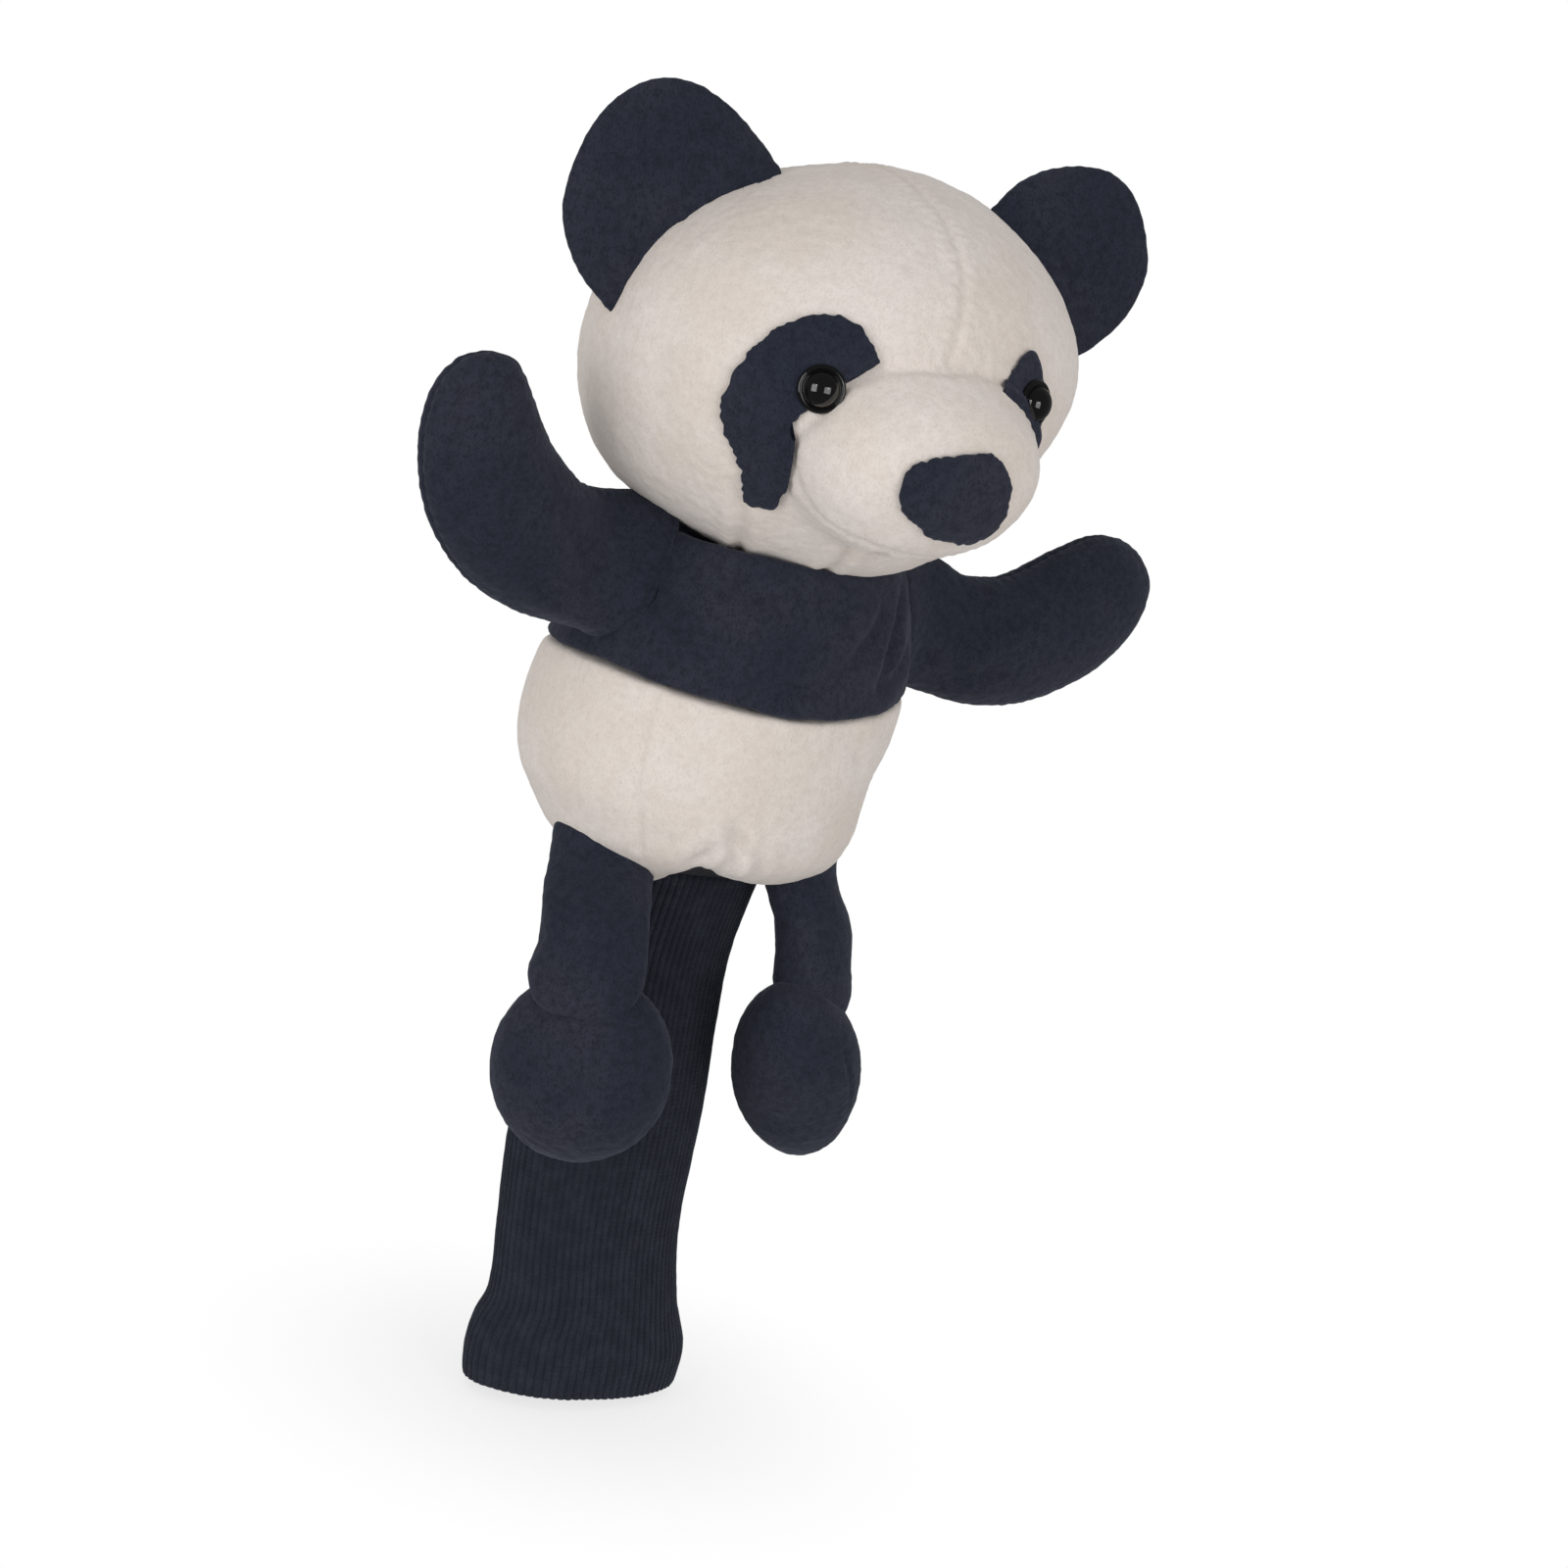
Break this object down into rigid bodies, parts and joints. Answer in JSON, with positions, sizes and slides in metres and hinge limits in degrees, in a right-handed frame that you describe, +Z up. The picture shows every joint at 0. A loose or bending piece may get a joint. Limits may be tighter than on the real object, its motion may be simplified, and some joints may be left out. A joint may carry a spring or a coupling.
{
  "type": "plush golf driver head cover",
  "caption": "Stuffed panda cover for a golf driver, with a club pocket in its body and a long ribbed knit sock that grips the shaft; head, ears, arms, legs and feet move.",
  "frame": {"origin": "centre of the sock's mouth, on the shaft's axis", "axes": "+Z up the club's shaft towards the head, -Y the way the animal's body faces, +X the animal's left side"},
  "size_m": [0.3573, 0.2098, 0.5191],
  "materials": {
    "cream_plush": "short soft pile",
    "black_plush": "short soft pile",
    "black_knit": "ribbed knit",
    "polyester_filling": "loose fibre",
    "lining_cloth": "smooth woven lining",
    "eye_plastic": "gloss",
    "washer_plastic": "moulded"
  },
  "bodies": {
    "body": {"sock": "black_knit", "pocket_lining": "lining_cloth", "belly_skin": "cream_plush", "chest_skin": "black_plush", "body_stuffing": "polyester_filling"},
    "head": {"head_skin": "cream_plush", "head_stuffing": "polyester_filling", "muzzle_skin": "cream_plush", "muzzle_stuffing": "polyester_filling", "nose": "black_plush", "eye_patch_right": "black_plush", "eye_right": "eye_plastic", "eye_washer_right": "washer_plastic", "eye_patch_left": "black_plush", "eye_left": "eye_plastic", "eye_washer_left": "washer_plastic"},
    "ear_right": {"ear_right": "black_plush"},
    "arm_right": {"arm_skin_right": "black_plush", "arm_stuffing_right": "polyester_filling"},
    "leg_right": {"leg_skin_right": "black_plush", "leg_stuffing_right": "polyester_filling"},
    "foot_right": {"foot_skin_right": "black_plush", "foot_stuffing_right": "polyester_filling"},
    "ear_left": {"ear_left": "black_plush"},
    "arm_left": {"arm_skin_left": "black_plush", "arm_stuffing_left": "polyester_filling"},
    "leg_left": {"leg_skin_left": "black_plush", "leg_stuffing_left": "polyester_filling"},
    "foot_left": {"foot_skin_left": "black_plush", "foot_stuffing_left": "polyester_filling"}
  },
  "joints": [
    {"name": "head_turn", "type": "hinge", "parent": "body", "child": "head", "pos_m": [0, -0.038, 0.424], "axis": [-0.1207, 0.017, 0.9925], "range_deg": [-20, 20], "stiffness_Nm_per_rad": 1.2},
    {"name": "ear_right_fold", "type": "hinge", "parent": "head", "child": "ear_right", "pos_m": [-0.07106, -0.03609, 0.46156], "axis": [0.4649, -0.0653, 0.8829], "range_deg": [-30, 30], "stiffness_Nm_per_rad": 0.15},
    {"name": "arm_right_swing", "type": "hinge", "parent": "body", "child": "arm_right", "pos_m": [-0.058, -0.02, 0.332], "axis": [0, 1, 0], "range_deg": [-13, 6], "stiffness_Nm_per_rad": 1.2},
    {"name": "leg_right_swing", "type": "hinge", "parent": "body", "child": "leg_right", "pos_m": [-0.045, -0.035, 0.232], "axis": [-0.788, 0.6157, 0], "range_deg": [0, 45]},
    {"name": "foot_right_flex", "type": "hinge", "parent": "leg_right", "child": "foot_right", "pos_m": [-0.05731, -0.05076, 0.184], "axis": [-0.788, 0.6157, 0], "range_deg": [0, 25]},
    {"name": "ear_left_fold", "type": "hinge", "parent": "head", "child": "ear_left", "pos_m": [0.06826, -0.05567, 0.47214], "axis": [0.5609, -0.0788, -0.8241], "range_deg": [-30, 30], "stiffness_Nm_per_rad": 0.15},
    {"name": "arm_left_swing", "type": "hinge", "parent": "body", "child": "arm_left", "pos_m": [0.058, -0.02, 0.332], "axis": [0, -1, 0], "range_deg": [0, 30], "stiffness_Nm_per_rad": 1.2},
    {"name": "leg_left_swing", "type": "hinge", "parent": "body", "child": "leg_left", "pos_m": [0.045, -0.035, 0.232], "axis": [-0.788, -0.6157, 0], "range_deg": [0, 45]},
    {"name": "foot_left_flex", "type": "hinge", "parent": "leg_left", "child": "foot_left", "pos_m": [0.05116, -0.04288, 0.184], "axis": [-0.788, -0.6157, 0], "range_deg": [0, 25]}
  ]
}
